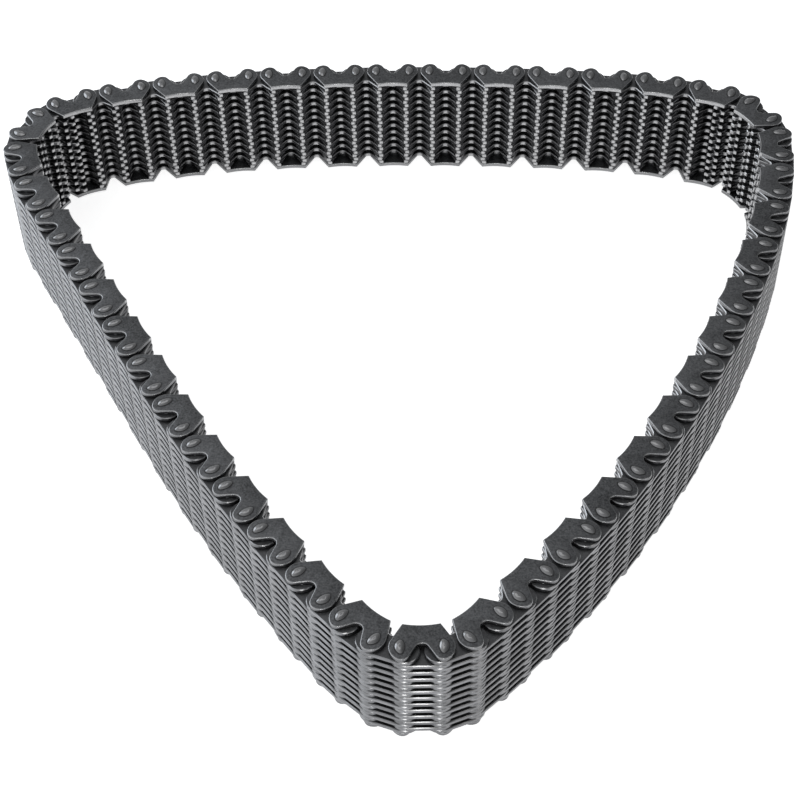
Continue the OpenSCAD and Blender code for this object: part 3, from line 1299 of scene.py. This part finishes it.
@dataclass
class Studio:
    """Pale floor, soft lamps and the camera, in metres and degrees."""

    floor_size: float = 6.0
    floor_drop: float = 0.0002
    paper: Colour = (0.8, 0.8, 0.8)
    paper_glow: float = 0.8
    mottle: float = 0.02
    mottle_scale: float = 3.0
    mottle_detail: float = 2.0
    sky: Colour = (0.97, 0.985, 1.0)
    sky_span: Point = (-1.0, 1.0)
    sky_strength: Point = (1.0, 0.06)
    lens: float = 82.512
    sensor: float = 36.0
    clip: Point = (0.01, 50.0)
    eye: Place = (-0.000865, -0.401623, 0.444348)
    look_down: float = 47.885
    roll: float = 1.0119
    target: Place = (0.0, -0.01, 0.02)

    @staticmethod
    def backdrop_seen(pad: NodePad) -> bpy.types.NodeSocket:
        """1 for rays that show the backdrop: seen, mirrored or passed on by clear things.

        Args:
            pad: Where the nodes go.

        Returns:
            The result's socket.
        """
        rays = pad.tree.nodes.new("ShaderNodeLightPath").outputs
        seen = pad.math("MAXIMUM", rays["Is Camera Ray"], rays["Is Glossy Ray"])
        return pad.math("MAXIMUM", seen, rays["Is Transmission Ray"])

    def floor(self) -> None:
        """Lays the pale floor that the chain rests on."""
        Bench.clear()
        bpy.ops.mesh.primitive_plane_add(size=self.floor_size, location=(0.0, 0.0, -self.floor_drop))
        made = bpy.context.object
        made.name = "floor"
        pad = NodePad("floor_paper")
        paper = pad.tree.nodes.new("ShaderNodeBsdfDiffuse")
        cloud = pad.noise(self.mottle_scale, self.mottle_detail)
        shade = pad.scaled(self.paper, pad.total(pad.product(cloud, self.mottle), 1.0))
        pad.feed(paper.inputs["Color"], shade)
        glow = pad.tree.nodes.new("ShaderNodeEmission")
        glow.inputs["Color"].default_value = (1.0, 1.0, 1.0, 1.0)
        pad.feed(glow.inputs["Strength"], pad.product(self.backdrop_seen(pad), self.paper_glow))
        both = pad.tree.nodes.new("ShaderNodeAddShader")
        pad.feed(both.inputs[0], paper.outputs[0])
        pad.feed(both.inputs[1], glow.outputs[0])
        pad.feed(pad.out.inputs["Surface"], both.outputs[0])
        made.data.materials.append(pad.material)

    def world(self) -> None:
        """Sets the surrounding light, stronger on the left than on the right."""
        world = bpy.data.worlds.new("studio")
        bpy.context.scene.world = world
        world.use_nodes = True
        tree = world.node_tree
        tree.nodes.clear()
        out = tree.nodes.new("ShaderNodeOutputWorld")
        sky = tree.nodes.new("ShaderNodeBackground")
        sky.inputs["Color"].default_value = (*self.sky, 1.0)
        way = tree.nodes.new("ShaderNodeSeparateXYZ")
        tree.links.new(tree.nodes.new("ShaderNodeTexCoord").outputs["Generated"], way.inputs[0])
        level = tree.nodes.new("ShaderNodeMapRange")
        for index, number in enumerate((*self.sky_span, *self.sky_strength), start=1):
            level.inputs[index].default_value = number
        tree.links.new(way.outputs["X"], level.inputs[0])
        tree.links.new(level.outputs[0], sky.inputs["Strength"])
        tree.links.new(sky.outputs[0], out.inputs["Surface"])

    def hang(self, lamp: Lamp) -> None:
        """Hangs one lamp and points it at the chain.

        Args:
            lamp: The lamp's place, size, power and colour.
        """
        data = bpy.data.lights.new(lamp.name, "AREA")
        data.shape = "SQUARE"
        data.size = lamp.size
        data.energy = lamp.power
        data.color = lamp.tint
        made = bpy.data.objects.new(lamp.name, data)
        made.location = lamp.place
        aim = Vector(self.target) - Vector(lamp.place)
        made.rotation_euler = aim.to_track_quat("-Z", "Y").to_euler()
        bpy.context.scene.collection.objects.link(made)

    def camera(self) -> None:
        """Sets up the camera at the viewing angle of the picture."""
        data = bpy.data.cameras.new("camera")
        data.lens = self.lens
        data.sensor_width = self.sensor
        data.sensor_fit = "HORIZONTAL"
        data.clip_start, data.clip_end = self.clip
        camera = bpy.data.objects.new("camera", data)
        tilt, roll = math.radians(self.look_down), math.radians(self.roll)
        right = Vector((1.0, 0.0, 0.0))
        down = Vector((0.0, -math.sin(tilt), -math.cos(tilt)))
        ahead = Vector((0.0, math.cos(tilt), -math.sin(tilt)))
        across = math.cos(roll) * right + math.sin(roll) * down
        up = math.sin(roll) * right - math.cos(roll) * down
        turn = Matrix((across, up, -ahead)).transposed().to_4x4()
        camera.matrix_world = Matrix.Translation(self.eye) @ turn
        bpy.context.scene.collection.objects.link(camera)
        bpy.context.scene.camera = camera

    def build(self) -> None:
        """Puts up the floor, the light and the camera."""
        bpy.context.scene.view_settings.view_transform = "Standard"
        self.floor()
        self.world()
        for lamp in LAMPS:
            self.hang(lamp)
        self.camera()


def main() -> None:
    """Builds the studio and dresses every body of the chain."""
    logging.basicConfig(level=logging.INFO, format="%(name)s: %(message)s")
    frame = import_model()
    Studio().build()
    chain = Chain()
    chain.model()
    for body, nodes in frame["record"]["behaviour"]["bodies"].items():
        chain.dress(body, nodes)


if __name__ == "__main__":
    main()
